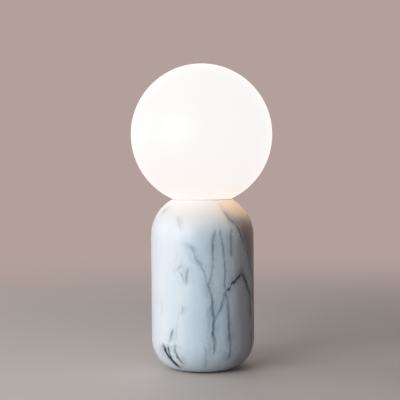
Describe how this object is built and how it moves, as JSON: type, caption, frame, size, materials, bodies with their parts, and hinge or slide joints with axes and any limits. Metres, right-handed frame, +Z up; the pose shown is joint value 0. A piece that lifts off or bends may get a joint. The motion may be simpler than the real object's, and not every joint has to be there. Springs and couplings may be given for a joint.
{
  "type": "glass globe table lamp",
  "caption": "Table lamp with an opal glass globe nested in the dished top of a pill-shaped glazed ceramic body with marble veining.",
  "frame": {"origin": "on the table, on the lamp's axis, under the foot pad", "axes": "+Z up along the lamp's axis, -Y to the front of the picture, +Y to the rear where the cord enters, +X to the viewer's right"},
  "size_m": [0.14, 0.14, 0.3024],
  "materials": {
    "ceramic_body": "gloss glaze with soft grey marble veining",
    "globe": "opal, gloss outside",
    "seat_ring": "matt silicone",
    "foot_pad": "closed-cell foam",
    "bottom_plate": "zinc plated",
    "foot_gasket": "matt",
    "ballast_weight": "black paint",
    "stem_tube": "zinc plated, threaded",
    "stem_nuts": "zinc plated",
    "star_washers": "zinc plated",
    "well_washer": "red vulcanised fibre",
    "gallery_plate": "zinc plated",
    "globe_springs": "polished spring steel",
    "spring_rivets": "plain",
    "holder_cap": "moulded",
    "holder_insert": "unglazed porcelain",
    "terminal_screws": "plain",
    "holder_skirt": "moulded",
    "contact_shell": "plain",
    "centre_contact": "plain",
    "grub_screw": "plain",
    "bulb_eyelet": "tinned",
    "bulb_insulator": "black",
    "bulb_screw_cap": "plain",
    "bulb_housing": "white",
    "bulb_dome": "frosted",
    "bulb_board": "white lacquer",
    "bulb_driver": "circuit board",
    "cord_inlet": "moulded nylon"
  },
  "bodies": {
    "base": {"ceramic_body": "ceramic_body", "seat_ring": "seat_ring", "foot_pad": "foot_pad", "bottom_plate": "bottom_plate", "foot_gasket": "foot_gasket", "ballast_weight": "ballast_weight", "stem_tube": "stem_tube", "stem_nuts": "stem_nuts", "star_washers": "star_washers", "well_washer": "well_washer", "gallery_plate": "gallery_plate", "globe_springs": "globe_springs", "spring_rivets": "spring_rivets", "holder_cap": "holder_cap", "holder_insert": "holder_insert", "terminal_screws": "terminal_screws", "holder_skirt": "holder_skirt", "contact_shell": "contact_shell", "centre_contact": "centre_contact", "grub_screw": "grub_screw", "cord_inlet": "cord_inlet"},
    "globe": {"globe": "globe"},
    "bulb": {"bulb_eyelet": "bulb_eyelet", "bulb_insulator": "bulb_insulator", "bulb_screw_cap": "bulb_screw_cap", "bulb_housing": "bulb_housing", "bulb_dome": "bulb_dome", "bulb_board": "bulb_board", "bulb_driver": "bulb_driver"}
  },
  "joints": [
    {"name": "globe_lift", "type": "slide", "parent": "base", "child": "globe", "axis": [0, 0, 1], "range_m": [0, 0.15]},
    {"name": "bulb_unscrew", "type": "slide", "parent": "base", "child": "bulb", "axis": [0, 0, 1], "range_m": [0, 0.03]}
  ]
}
